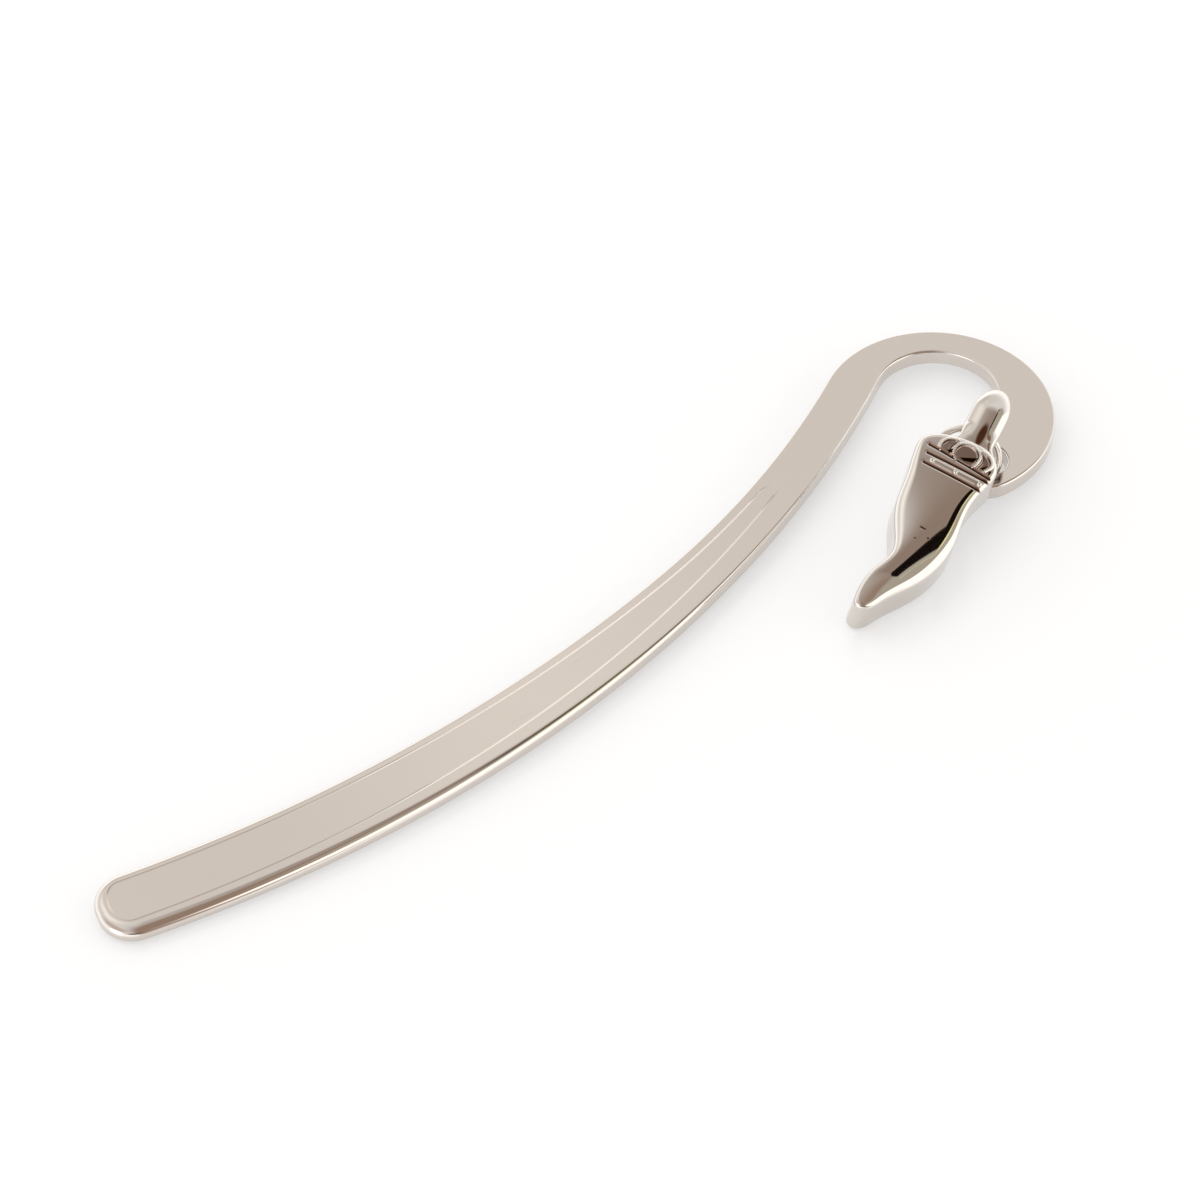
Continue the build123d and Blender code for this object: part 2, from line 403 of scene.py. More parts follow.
# %% Close the plate's flat faces
def close_flat(shell, loops, numbers, faces_up):
    """Fills the flat between loops of the shell with triangles."""
    corners = np.concatenate(numbers)[fill_plan(loops)]
    shell["faces"].extend((corners if faces_up else corners[:, ::-1]).tolist())


hook_points = np.vstack(hook_shell["points"])[:, :2]
face_loops = [face_rim, hole_face_rim, row_numbers[-1]]
back_loops = [back_rim, hole_back_rim]
close_flat(hook_shell, [hook_points[loop] for loop in face_loops], face_loops, True)
close_flat(hook_shell, [hook_points[row_numbers[0]]], [row_numbers[0]], True)
close_flat(hook_shell, [hook_points[loop] for loop in back_loops], back_loops, False)
hook_piece = make_piece("hook_blade_polished", [hook_shell], plate_place)

# %% [markdown]
# ## One helper for nodes
# Geometry trees and material trees are both built from nodes, so one small function adds a node with its
# settings, its values and its links.

# %% Add a node
def add_node(tree, kind, values=None, links=None, **settings):
    """Adds a node: settings are its properties, values and links go to its inputs by name or number."""
    node = tree.nodes.new(kind)
    for name, value in settings.items():
        setattr(node, name, value)
    for key, value in (values or {}).items():
        node.inputs[key].default_value = value
    for key, socket in (links or {}).items():
        tree.links.new(socket, node.inputs[key])
    return node


# %% [markdown]
# ## Bright nickel plating
# Nickel is a warm white metal. Over a polished casting it is nearly a mirror, with the soft waviness of the
# polishing wheel and a few hairline scratches from handling. A flat mirror would look like a computer's
# idea of metal, so noise of real sizes moves the roughness and tilts the surface very slightly.

# %% The plating's material
hair_angle, hair_stretch = 24, 0.05
hair_low, hair_high = 0.60, 0.72
wave_strength, wave_height = 0.04, 0.02


def to_linear(hex_colour):
    """An sRGB hex colour as linear red, green, blue and alpha."""
    parts = [int(hex_colour[k : k + 2], 16) / 255 for k in (1, 3, 5)]
    return [part / 12.92 if part <= 0.04045 else ((part + 0.055) / 1.055) ** 2.4 for part in parts] + [1.0]


def nickel_plating(name, colour, shade_colours, low_rough, high_rough, wave_mm, scratch_mm):
    """A warm mirror on polished metal, with soft waves, faint hairlines and painted shade in recesses."""
    material = bpy.data.materials.new(name)
    material.use_nodes = True
    tree = material.node_tree
    tree.nodes.clear()
    where = add_node(tree, "ShaderNodeTexCoord").outputs["Object"]
    wave_sizes = {"Scale": 1 / (wave_mm * MM), "Detail": 2.0}
    waves = add_node(tree, "ShaderNodeTexNoise", wave_sizes, {"Vector": where})
    turn = {"Rotation": (0, 0, radians(hair_angle)), "Scale": (hair_stretch, 1.0, 1.0)}
    turned = add_node(tree, "ShaderNodeMapping", turn, {"Vector": where})
    hair_sizes = {"Scale": 1 / (scratch_mm * MM), "Detail": 3.0, "Roughness": 0.6}
    hairs = add_node(tree, "ShaderNodeTexNoise", hair_sizes, {"Vector": turned.outputs["Vector"]})
    rough_range = {"From Min": hair_low, "From Max": hair_high, "To Min": low_rough, "To Max": high_rough}
    rough = add_node(tree, "ShaderNodeMapRange", rough_range, {"Value": hairs.outputs["Fac"]})
    # Painted shade: a value on each point turns the colour towards the darker shade colours.
    painted_shade_and_dark_patch = add_node(tree, "ShaderNodeAttribute", attribute_name="painted_shade_and_dark_patch")
    tint = add_node(tree, "ShaderNodeValToRGB", None, {"Fac": painted_shade_and_dark_patch.outputs["Fac"]})
    stops = tint.color_ramp.elements
    stops.new(0.5)
    for stop, stop_colour in zip(stops, (colour, *shade_colours)):
        stop.color = to_linear(stop_colour)
    tilt_sizes = {"Strength": wave_strength, "Distance": wave_height * MM}
    tilt = add_node(tree, "ShaderNodeBump", tilt_sizes, {"Height": waves.outputs["Fac"]})
    looks = {
        "Base Color": tint.outputs["Color"],
        "Roughness": rough.outputs["Result"],
        "Normal": tilt.outputs["Normal"],
    }
    shader = add_node(tree, "ShaderNodeBsdfPrincipled", {"Metallic": 1.0}, looks)
    add_node(tree, "ShaderNodeOutputMaterial", None, {"Surface": shader.outputs["BSDF"]})
    return material


# The shade colours are painted shade. Only the charm's points carry the value that calls them.
soft_shades, dark_shades = ("#A99F96", "#8A8078"), ("#76503C", "#1E1410")
hook_nickel = nickel_plating("bright_nickel_on_cast_plate", "#D7D0C9", soft_shades, 0.09, 0.16, 2.5, 0.5)
wire_nickel = nickel_plating("bright_nickel_on_drawn_wire", "#D6CFC8", soft_shades, 0.08, 0.14, 1.2, 0.4)
charm_nickel = nickel_plating("bright_nickel_on_cast_charm", "#D8D2CB", dark_shades, 0.05, 0.11, 3.0, 0.4)
print("materials", hook_nickel.name, wire_nickel.name, charm_nickel.name)

# %% [markdown]
# ## The jump ring
# Jump rings are wound from wire on a rod and sawn apart, so each one is a torus with a fine split. A curve
# with a round section makes that directly in Geometry Nodes, and its sizes stay inputs of the tree.

# %% Geometry Nodes for the ring
ring_radius = 3.76
ring_split = 0.08
ring_bail_angle = 68.4
ring_steps, wire_sides = 160, 32


def new_tree(name, inputs):
    """A geometry tree with named number inputs, and its input and output nodes."""
    tree = bpy.data.node_groups.new(name, "GeometryNodeTree")
    tree.interface.new_socket("Geometry", in_out="INPUT", socket_type="NodeSocketGeometry")
    for label in inputs:
        tree.interface.new_socket(label, in_out="INPUT", socket_type="NodeSocketFloat")
    tree.interface.new_socket("Material", in_out="INPUT", socket_type="NodeSocketMaterial")
    tree.interface.new_socket("Geometry", in_out="OUTPUT", socket_type="NodeSocketGeometry")
    return tree, add_node(tree, "NodeGroupInput")


def end_tree(tree, entry, geometry):
    """The tree's last steps: real geometry instead of instances, with its material."""
    real = add_node(tree, "GeometryNodeRealizeInstances", None, {"Geometry": geometry})
    links = {"Geometry": real.outputs["Geometry"], "Material": entry.outputs["Material"]}
    dressed = add_node(tree, "GeometryNodeSetMaterial", None, links)
    add_node(tree, "NodeGroupOutput", None, {"Geometry": dressed.outputs["Geometry"]})


def grow(name, mesh, tree, sizes, material):
    """Runs a tree on a mesh and keeps the result as a plain mesh object at the origin."""
    seed = add_object(name + "_seed", mesh)
    modifier = seed.modifiers.new("grow", "NODES")
    modifier.node_group = tree
    for item in tree.interface.items_tree:
        if item.in_out == "INPUT" and item.name in sizes:
            modifier[item.identifier] = sizes[item.name]
        elif item.in_out == "INPUT" and item.name == "Material":
            modifier[item.identifier] = material
    grown = bpy.data.meshes.new_from_object(seed.evaluated_get(bpy.context.evaluated_depsgraph_get()))
    grown.name = name
    bpy.data.objects.remove(seed)
    print(name, len(grown.vertices), "points", len(grown.polygons), "faces")
    return add_object(name, grown)


ring_tree, ring_entry = new_tree("split_wire_ring", ["Ring Radius", "Wire Radius", "Start", "Sweep"])
arc_links = {
    "Radius": ring_entry.outputs["Ring Radius"],
    "Start Angle": ring_entry.outputs["Start"],
    "Sweep Angle": ring_entry.outputs["Sweep"],
}
ring_arc = add_node(ring_tree, "GeometryNodeCurveArc", {"Resolution": ring_steps}, arc_links)
section_links = {"Radius": ring_entry.outputs["Wire Radius"]}
section_kind = "GeometryNodeCurvePrimitiveCircle"
ring_section = add_node(ring_tree, section_kind, {"Resolution": wire_sides}, section_links)
sweep_links = {"Curve": ring_arc.outputs["Curve"], "Profile Curve": ring_section.outputs["Curve"]}
ring_wire = add_node(ring_tree, "GeometryNodeCurveToMesh", {"Fill Caps": True}, sweep_links)
end_tree(ring_tree, ring_entry, ring_wire.outputs["Mesh"])

# %% Put the ring in its place
split_angle = ring_split / ring_radius
ring_sizes = {
    "Ring Radius": ring_radius * MM,
    "Wire Radius": wire_radius * MM,
    "Start": -pi / 2 + split_angle / 2,
    "Sweep": 2 * pi - split_angle,
}
ring_piece = grow("jump_ring_wire", bpy.data.meshes.new("ring_seed"), ring_tree, ring_sizes, wire_nickel)
bail_point = np.array(joints["charm_swing"]["pos_m"]) / MM
wire_line = np.array(joints["charm_swing"]["axis"])
ring_x = np.array(joints["ring_swing"]["axis"])
bail_turn = radians(ring_bail_angle)
ring_y = (ring_x * sin(bail_turn) - wire_line) / cos(bail_turn)
ring_center = bail_point - (ring_x * cos(bail_turn) + ring_y * sin(bail_turn)) * ring_radius
ring_place = np.eye(4)
ring_place[:3, :3] = np.column_stack([ring_x, ring_y, np.cross(ring_x, ring_y)])
ring_place[:3, 3] = ring_center * MM
ring_piece.data.transform(Matrix(ring_place.tolist()))
ring_piece.data.shade_smooth()
ring_piece.data.set_sharp_from_angle(angle=radians(60))
print("ring centre in mm", ring_center.round(3))

# %% [markdown]
# ## The horn's outline
# The charm is an S-curved horn with a crown for a head. Its outline is one smooth closed curve through a
# few points, so that the walls reflect without breaks. Beziers could be drawn by hand. A periodic cubic
# spline needs only the points.

# %% A closed cubic spline through the outline's points
horn_length, crown_width, charm_thickness = 24.6, 9.2, 5.4
charm_draft = 0.1
outline_spacing = 0.08
horn_points = np.array([
    (17.6, 4.38), (13.8, 4.0), (10.8, 2.9), (7.9, 2.08), (5.2, 2.95), (2.6, 3.47),
    (0.95, 3.36), (0.28, 3.07), (0.0, 2.4), (0.28, 1.73), (2.1, 0.5), (4.9, -1.3),
    (9.0, -3.2), (12.4, -3.55), (15.6, -3.25), (17.9, -3.35), (20.2, -3.95), (22.1, -4.3),
    (23.75, -3.55), (24.55, -2.0), (24.5, 0.9), (23.6, 3.7), (22.6, 4.72), (20.9, 4.86),
])


def run_lengths(path):
    """The length along a path at each of its points."""
    return np.concatenate([[0], np.cumsum(np.linalg.norm(np.diff(path, axis=0), axis=1))])


def closed_spline(knots, spacing):
    """Points a spacing apart on the closed cubic spline through the knots, and their outward normals."""
    count = len(knots)
    after = np.roll(knots, -1, axis=0)
    spans = np.linalg.norm(after - knots, axis=1)
    slopes = (after - knots) / spans[:, None]
    matrix = np.zeros((count, count))
    pull = np.zeros((count, 2))
    for k in range(count):
        before = k - 1
        matrix[k, before] += spans[k]
        matrix[k, k] += 2 * (spans[before] + spans[k])
        matrix[k, (k + 1) % count] += spans[before]
        pull[k] = 3 * (spans[k] * slopes[before] + spans[before] * slopes[k])
    headings = np.linalg.solve(matrix, pull)
    starts = np.concatenate([[0], np.cumsum(spans)])

    def at(lengths):
        k = np.clip(np.searchsorted(starts, lengths, side="right") - 1, 0, count - 1)
        span = spans[k][:, None]
        t = (lengths - starts[k])[:, None] / span
        p, q, u, v = knots[k], after[k], headings[k] * span, np.roll(headings, -1, axis=0)[k] * span
        spot = p + t * u + t**2 * (3 * (q - p) - 2 * u - v) + t**3 * (2 * (p - q) + u + v)
        way = u + 2 * t * (3 * (q - p) - 2 * u - v) + 3 * t**2 * (2 * (p - q) + u + v)
        return spot, unit(way)

    fine = np.linspace(0, starts[-1], 6000)
    run = run_lengths(at(fine)[0])
    total = round(run[-1] / spacing)
    spots, ways = at(np.interp(np.arange(total) * run[-1] / total, run, fine))
    return spots, np.column_stack([ways[:, 1], -ways[:, 0]])


horn_outline, horn_normals = closed_spline(horn_points, outline_spacing)
print("horn outline of", len(horn_outline), "points")

# %% [markdown]
# ## The horn's face
# The face is softly cambered: it falls a little to both sides of a spine, rolls off at the edges, and bends
# down at the tail. Three small casting pits show in it. The crown has three cut lines, a band with small
# bars, and three arches with sunk panels. Sculpting could make it, but as a height over the plan each line
# keeps its measured place.

# %% Places and sizes on the face
camber_places = (0.0, 4.0, 8.0, 13.0, 17.5, 24.6)
camber_rates = (0.065, 0.072, 0.066, 0.022, 0.012, 0.008)
camber_curve = np.polyfit(camber_places, camber_rates, 4)
spine_x = (0.0, 2.5, 5.0, 8.0, 10.8, 13.8, 17.0, 20.0, 24.6)
spine_y = (3.0, 2.7, 2.15, 0.9, 0.35, 0.5, 0.75, 0.5, 0.1)
spine = np.polyfit(spine_x, spine_y, 4)
tail_start, tail_slope, tail_ease = 5.2, 0.12, 2.0
casting_pits = (
    ((11.86, 0.4), (11.83, -0.08), 0.11),
    ((10.29, 0.44), (10.29, 0.41), 0.1),
    ((11.02, -0.84), (11.0, -0.87), 0.08),
)
pit_depth = 0.015
crown_start = 18.4
cut_lines = (((19.52, 3.3), (19.16, -3.9)), ((20.8, 3.4), (20.54, -4.1)), ((21.84, 3.6), (21.05, -3.8)))
cut_depth, cut_width = 0.2, 0.15
bars = (((20.08, 2.15), (19.99, 0.15)), ((19.95, -0.6), (19.9, -2.7)))
bar_height, bar_half_width = 0.1, 0.33
bead_spots = ((20.1, 2.58), (19.97, -0.22), (19.9, -3.1))
arches = (
    ((21.45, 0.4), (21.95, 0.92), (22.7, 0.95), (23.45, 0.62), (23.85, -0.1),
     (23.85, -0.9), (23.4, -1.65), (22.6, -1.93), (21.4, -1.6)),
    ((21.75, 2.35), (22.2, 2.52), (22.9, 2.42), (23.5, 1.95), (23.8, 1.1)),
    ((23.75, -1.9), (23.6, -2.7), (23.0, -3.3), (22.4, -3.4), (21.6, -3.0)),
)
panels = (
    arches[0],
    (*arches[1], (23.3, 1.0), (22.6, 1.25), (21.85, 1.15), (21.7, 1.8)),
    (*arches[2], (21.45, -2.0), (22.6, -2.25), (23.4, -2.0)),
)
# Painted dark reflection: near-black places where the panels dive under the band.
painted_dark_reflections = (
    ((21.99, 0.22), (23.05, -1.89), (22.07, -1.47), (21.78, -0.46)),
    ((22.26, 1.83), (22.56, 1.03), (21.89, 0.91), (21.9, 1.32)),
    ((21.76, -2.29), (22.68, -3.04), (22.33, -3.08), (21.82, -2.85)),
)
ridge_height, ridge_width = 0.13, 0.15
panel_depth, panel_slope = 0.24, 0.32
print("carved lines", len(cut_lines), "arches", len(arches), "panels", len(panels))

# %% Distances, soft steps and rounded paths
def distance_to(points, path):
    """Distance of plan points from an open path of straight steps."""
    nearest = np.full(len(points), np.inf)
    for start, end in zip(np.array(path)[:-1], np.array(path)[1:]):
        step = end - start
        share = np.clip((points - start) @ step / (step @ step), 0, 1)
        gap = points - start - share[:, None] * step
        nearest = np.minimum(nearest, np.hypot(gap[:, 0], gap[:, 1]))
    return nearest


def smooth_step(value):
    """From 0 to 1 without corners."""
    value = np.clip(value, 0, 1)
    return value * value * (3 - 2 * value)


def smooth_path(path, steps=8):
    """A path with its corners rounded by a spline through its points."""
    path = np.array(path)
    ends = np.vstack([2 * path[0] - path[1], path, 2 * path[-1] - path[-2]])
    rounded = []
    for a, b, c, d in zip(ends, ends[1:], ends[2:], ends[3:]):
        for t in np.linspace(0, 1, steps, endpoint=False):
            bend = 2 * a - 5 * b + 4 * c - d + t * (3 * (b - c) + d - a)
            rounded.append(b + 0.5 * t * (c - a + t * bend))
    return np.vstack([rounded, path[-1:]])


arch_paths = [smooth_path(path) for path in arches]
panel_loops = [smooth_path((*path, path[0])) for path in panels]
print("points of the arches", [len(path) for path in arch_paths])

# %% Heights of the face over its plan
def carving(points):
    """How far the carver's tool has gone down, or left the metal standing, at plan points of the face."""
    height = np.zeros(len(points))
    near = points[:, 0] > crown_start
    spots = points[near]
    depth = np.zeros(len(spots))
    for line in cut_lines:
        depth -= cut_depth * np.exp(-((distance_to(spots, line) / cut_width) ** 2))
    for bar in bars:
        depth += bar_height * np.exp(-((distance_to(spots, bar) / bar_half_width) ** 6))
    for path in arch_paths:
        depth += ridge_height * np.exp(-((distance_to(spots, path) / ridge_width) ** 2))
    for loop in panel_loops:
        sunk = smooth_step(distance_to(spots, loop) / panel_slope)
        depth -= panel_depth * np.where(inside(spots, [loop]), sunk, 0)
    height[near] = depth
    return height


def camber(points):
    """The gentle fall of the face to both sides of the horn's spine, and of the tail to its tip."""
    rate = np.polyval(camber_curve, points[:, 0])
    beyond = np.clip(tail_start - points[:, 0], 0, None)
    tail_fall = tail_slope * beyond**2 / (beyond + tail_ease)
    return -rate * (points[:, 1] - np.polyval(spine, points[:, 0])) ** 2 - tail_fall


def pitting(points):
    """How deep in a casting pit plan points of the face are, from 0 to 1."""
    share = np.zeros(len(points))
    for start, end, radius in casting_pits:
        share = np.maximum(share, np.exp(-((distance_to(points, (start, end)) / radius) ** 2)))
    return share


def face_height(points):
    """Height of the face above the charm's back."""
    return charm_thickness + camber(points) + carving(points) - pit_depth * pitting(points)


def face_normals(points):
    """The face's normals, from the slopes of its heights."""
    step = 0.02
    slope_x = (face_height(points + [step, 0]) - face_height(points - [step, 0])) / (2 * step)
    slope_y = (face_height(points + [0, step]) - face_height(points - [0, step])) / (2 * step)
    return unit(np.column_stack([-slope_x, -slope_y, np.ones(len(points))]))


print("heights over the outline's points in mm", face_height(horn_points).round(2))

# %% Roll the face over its edges and down to the back
roll_places = (0.0, 2.5, 6.0, 9.0, 12.0, 16.0, 19.0, 22.0, 24.6)
roll_widths = (0.6, 0.65, 0.8, 1.1, 1.5, 1.5, 1.1, 0.85, 0.8)
roll_drops = (0.5, 0.5, 0.45, 0.5, 0.5, 0.5, 0.5, 0.6, 0.65)
far_width_change, far_drop_change = -0.3, 0.6
blur_half = 30
charm_back_round = 0.5
roll_turns, back_round_turns = np.radians(np.linspace(0, 90, 15)), np.radians(np.linspace(0, 90, 6))
wall_shares = (0.04, 0.5, 0.96)
far_side_share = np.clip(horn_normals[:, 1], 0, 1) ** 2


def rolled(sizes, far_change):
    """A size of the roll at each point of the outline, evened out over the points beside it."""
    row = np.interp(horn_outline[:, 0], roll_places, sizes) * (1 + far_change * far_side_share)
    weights = np.hanning(2 * blur_half + 1)
    looped = np.concatenate([row[-blur_half:], row, row[:blur_half]])
    return np.convolve(looped, weights / weights.sum(), "valid")


def ring_grid_normals(grid):
    """Normals of a grid of rings, from its steps along the rings and across them."""
    along = np.roll(grid, -1, axis=1) - np.roll(grid, 1, axis=1)
    across = np.gradient(grid, axis=0)
    return unit(np.cross(across, along))


roll_width, roll_drop = rolled(roll_widths, far_width_change), rolled(roll_drops, far_drop_change)
rings = []
for turn in roll_turns:
    spots = horn_outline - horn_normals * (roll_width * (1 - sin(turn)))[:, None]
    fall = roll_drop * (1 - cos(turn))
    height = charm_thickness - fall + camber(spots) + cos(turn) ** 2 * carving(spots)
    rings.append(np.column_stack([spots, height]))
wall_top = rings[-1]
for share in wall_shares:
    height = wall_top[:, 2] * (1 - share) + charm_back_round * share
    rings.append(np.column_stack([horn_outline + horn_normals * charm_draft * share, height]))
for turn in back_round_turns:
    spots = horn_outline + horn_normals * (charm_draft - charm_back_round * (1 - cos(turn)))
    rings.append(np.column_stack([spots, np.full(len(spots), charm_back_round * (1 - sin(turn)))]))
horn_grid = np.array(rings)
grid_normals = ring_grid_normals(horn_grid)
grid_normals[0] = face_normals(horn_grid[0][:, :2])
grid_normals[-1] = (0, 0, -1)
charm_shell = new_shell()
ring_numbers = [add_points(charm_shell, ring, normals) for ring, normals in zip(horn_grid, grid_normals)]
join_rings(charm_shell, ring_numbers)
print("horn rings", len(rings))

# %% Fill the face with a grid that is fine at the crown and at the pits
face_loop = horn_grid[0][:, :2]


def grid_inside(low_x, high_x, spacing):
    """Grid points inside the face's loop and clear of it."""
    xs, ys = np.arange(low_x, high_x, spacing), np.arange(-crown_width / 2, crown_width / 2 + 1, spacing)
    spots = np.stack(np.meshgrid(xs, ys), axis=-1).reshape(-1, 2)
    spots = spots[inside(spots, [face_loop])]
    return spots[distance_to(spots, np.vstack([face_loop, face_loop[:1]])) > 0.5 * spacing]


coarse, fine, band_gap = 0.2, 0.07, 0.05
grid_bands = (
    (0.2, 9.8, coarse),
    (9.9, 12.5, fine),
    (12.6, crown_start, coarse),
    (crown_start + band_gap, horn_length, fine),
)
face_spots = np.vstack([grid_inside(*band) for band in grid_bands])
face_points = np.column_stack([face_spots, face_height(face_spots)])
spot_numbers = add_points(charm_shell, face_points, face_normals(face_spots))
face_numbers = np.concatenate([ring_numbers[0], spot_numbers])
charm_shell["faces"].extend(face_numbers[fill_plan([face_loop], face_spots)].tolist())
close_flat(charm_shell, [horn_grid[-1][:, :2]], [ring_numbers[-1]], False)
print("face filled with", len(face_spots), "points")

# %% [markdown]
# ## The bail
# The loop on top of the crown is cast with the charm. It has a ridged back and a flat inside, which a wire
# bent double would not have. A section of that form is swept round a long slot. It turns round and narrow
# at the loop's far end, stays narrower along the lower bar to leave the ring room, and towards the crown
# grows into a solid root with a small flare.

# %% Sweep the bail's section round its slot
bail_width, bail_height, bail_band = 4.1, 4.6, 1.05
bail_reach, bail_root = 8.6, 1.45
bail_lift, bail_offset, bail_shift = 0.05, -0.4, 0.28
bail_middle = bail_offset - bail_shift
slot_radius = bail_height / 2 - bail_band
slot_middle_z = bail_lift + bail_height / 2
slot_near_x = horn_length + bail_root + slot_radius
slot_far_x = horn_length + bail_reach - bail_band - slot_radius
root_depth = 4.2
edge_thickness = 0.15
bar_mean, bar_swing = 0.9, 0.1
blend_rate, block_power = 1.6, 4.5
end_narrowing, end_stretch, end_reach = 0.42, 1.3, 0.45
tilt_places = (0.0, 0.3, 0.42, 0.9, 1.0)
tilt_degrees = (0.0, 4.0, 24.0, 42.0, 78.0)
fine_places = np.linspace(0, 1, 401)
fine_tilts = np.radians(np.interp(fine_places, tilt_places, tilt_degrees))
fine_falls = np.concatenate([[0], np.cumsum(np.tan((fine_tilts[1:] + fine_tilts[:-1]) / 2))])
fine_falls /= fine_falls[-1]


def half_width(turn):
    """Half the bail's width at a turn round its slot: the lower bar is narrower, to clear the ring."""
    return bail_width / 2 * (bar_mean + bar_swing * sin(turn))


def straight_bar(start_x, end_x, turn):
    """Stops of a straight bar between the slot's two round ends, which have their own stops."""
    middles = np.linspace(start_x, end_x, 10)[1:-1]
    return [(middle_x, turn, bail_band, 0.0, 0.0, 0.0, half_width(turn)) for middle_x in middles]


def bail_path():
    """Stops round the slot: middle, turn, thickness, stretch, how round and solid it is, and half width."""
    path = []
    for turn in np.radians(np.linspace(-90, 90, 40)):
        narrowed = half_width(turn) * (1 - end_narrowing * cos(turn) ** 2)
        stretch, rounded = end_stretch + end_reach, min(1, blend_rate * cos(turn))
        path.append((slot_far_x - end_stretch, turn, bail_band, stretch, rounded, 0.0, narrowed))
    path += straight_bar(slot_far_x - end_stretch, slot_near_x, radians(90))
    for turn in np.radians(np.linspace(90, 270, 48)):
        reach = min(bail_height / 2 / max(abs(sin(turn)), 1e-6), root_depth)
        solid = min(1, abs(cos(turn)) * blend_rate)
        path.append((slot_near_x, turn, reach - slot_radius, 0.0, 0.0, solid, half_width(turn)))
    return path + straight_bar(slot_near_x, slot_far_x - end_stretch, radians(270))


def bail_section(thickness, rounded, solid, half):
    """A closed D: out over the ridged back from one side to the other, and back along the flat inside."""
    lip = 0.22
    section = []
    for turn in np.radians(np.linspace(0, 180, 61)):
        side = cos(turn)
        ridge = 1 - np.interp(abs(side), fine_places, fine_falls)
        ridge += (sin(turn) - ridge) * rounded
        block = max(0, 1 - abs(side) ** block_power) ** (1 / block_power)
        rise = ridge + (block - ridge) * solid
        section.append((half * side, edge_thickness + (thickness - edge_thickness) * rise))
    for turn in np.radians(np.linspace(180, 270, 7)[1:]):
        section.append((lip - half + lip * cos(turn), edge_thickness * (1 + sin(turn))))
    for turn in np.radians(np.linspace(270, 360, 7)[:-1]):
        section.append((half - lip + lip * cos(turn), edge_thickness * (1 + sin(turn))))
    return section


flare_length, flare_limit, flare_share = 1.2, 1.2, 0.3
bail_rows = []
for middle_x, turn, thickness, stretch, rounded, solid, half in bail_path():
    row = []
    for across, out in bail_section(thickness, rounded, solid, half):
        reach = slot_radius + out
        spot_x = middle_x + (reach + stretch) * cos(turn)
        row.append((spot_x, bail_middle + across, slot_middle_z + reach * sin(turn)))
    bail_rows.append(row)
bail_grid = np.array(bail_rows)
flare = np.clip((horn_length + flare_length - bail_grid[:, :, 0]) / flare_length, 0, flare_limit) ** 2
bail_grid[:, :, 1] += (bail_grid[:, :, 1] - bail_middle) * flare_share * flare
along = np.roll(bail_grid, -1, axis=0) - np.roll(bail_grid, 1, axis=0)
across = np.roll(bail_grid, -1, axis=1) - np.roll(bail_grid, 1, axis=1)
bail_normals = unit(np.cross(along, across))
bail_shell = new_shell()
bail_numbers = [add_points(bail_shell, row, normals) for row, normals in zip(bail_grid, bail_normals)]
join_rings(bail_shell, [*bail_numbers, bail_numbers[0]])
print("bail rows", len(bail_rows))

# %% Put the charm in its place
charm_heading, charm_pitch, charm_roll = 28.0, 10.7215, 12.0
bail_seat = 3.2
bail_gap = 0.55
seat = np.array([
    horn_length + bail_seat, bail_offset, bail_lift + bail_height - bail_band - wire_radius - bail_gap
])
charm_turn = (
    Matrix.Rotation(radians(charm_heading), 3, "Z")
    @ Matrix.Rotation(radians(-charm_pitch), 3, "Y")
    @ Matrix.Rotation(radians(charm_roll), 3, "X")
)
charm_place = np.eye(4)
charm_place[:3, :3] = np.array(charm_turn)
charm_place[:3, 3] = bail_point - charm_place[:3, :3] @ seat
charm_piece = make_piece("horn_charm_cast", [charm_shell, bail_shell], charm_place)
print("charm's lowest point in mm", round(min(v.co.z for v in charm_piece.data.vertices) / MM, 3))

# %% [markdown]
# ## Beads on the crown
# Small beads stand on the crown's band and along its arches, as pearls do on a crown. They are all alike,
# so one geometry tree sets a small ball on each point of a list, half sunk in the metal.

# %% Geometry Nodes for beads
bead_tree, bead_entry = new_tree("beads_on_points", ["Bead Radius"])
ball_steps = {"Segments": 14, "Rings": 8}
ball_links = {"Radius": bead_entry.outputs["Bead Radius"]}
ball = add_node(bead_tree, "GeometryNodeMeshUVSphere", ball_steps, ball_links)
soft_ball = add_node(bead_tree, "GeometryNodeSetShadeSmooth", None, {"Geometry": ball.outputs["Mesh"]})
dots = add_node(bead_tree, "GeometryNodeMeshToPoints", None, {"Mesh": bead_entry.outputs["Geometry"]})
bead_links = {"Points": dots.outputs["Points"], "Instance": soft_ball.outputs["Geometry"]}
placed = add_node(bead_tree, "GeometryNodeInstanceOnPoints", None, bead_links)
end_tree(bead_tree, bead_entry, placed.outputs["Instances"])

# %% Beads along the arches and on the band
def along_path(path, spacing):
    """Points a spacing apart along a path."""
    run = run_lengths(path)
    stops = np.linspace(0, run[-1], round(run[-1] / spacing) + 1)
    return np.column_stack([np.interp(stops, run, path[:, 0]), np.interp(stops, run, path[:, 1])])


def bead_piece(name, spots, radius, sink):
    """Beads of one size on plan points of the charm's face."""
    points = np.column_stack([spots, face_height(spots) - sink])
    mesh = bpy.data.meshes.new(name + "_points")
    mesh.from_pydata(((points @ charm_place[:3, :3].T + charm_place[:3, 3]) * MM).tolist(), [], [])
    return grow(name, mesh, bead_tree, {"Bead Radius": radius * MM}, charm_nickel)


arch_bead_radius, arch_bead_sink, arch_bead_spacing = 0.13, 0.04, 0.25
band_bead_radius, band_bead_sink = 0.33, 0.14
arch_spots = np.vstack([along_path(path, arch_bead_spacing) for path in arch_paths])
arch_beads = bead_piece("crown_arch_beads", arch_spots, arch_bead_radius, arch_bead_sink)
band_beads = bead_piece("crown_band_beads", np.array(bead_spots), band_bead_radius, band_bead_sink)
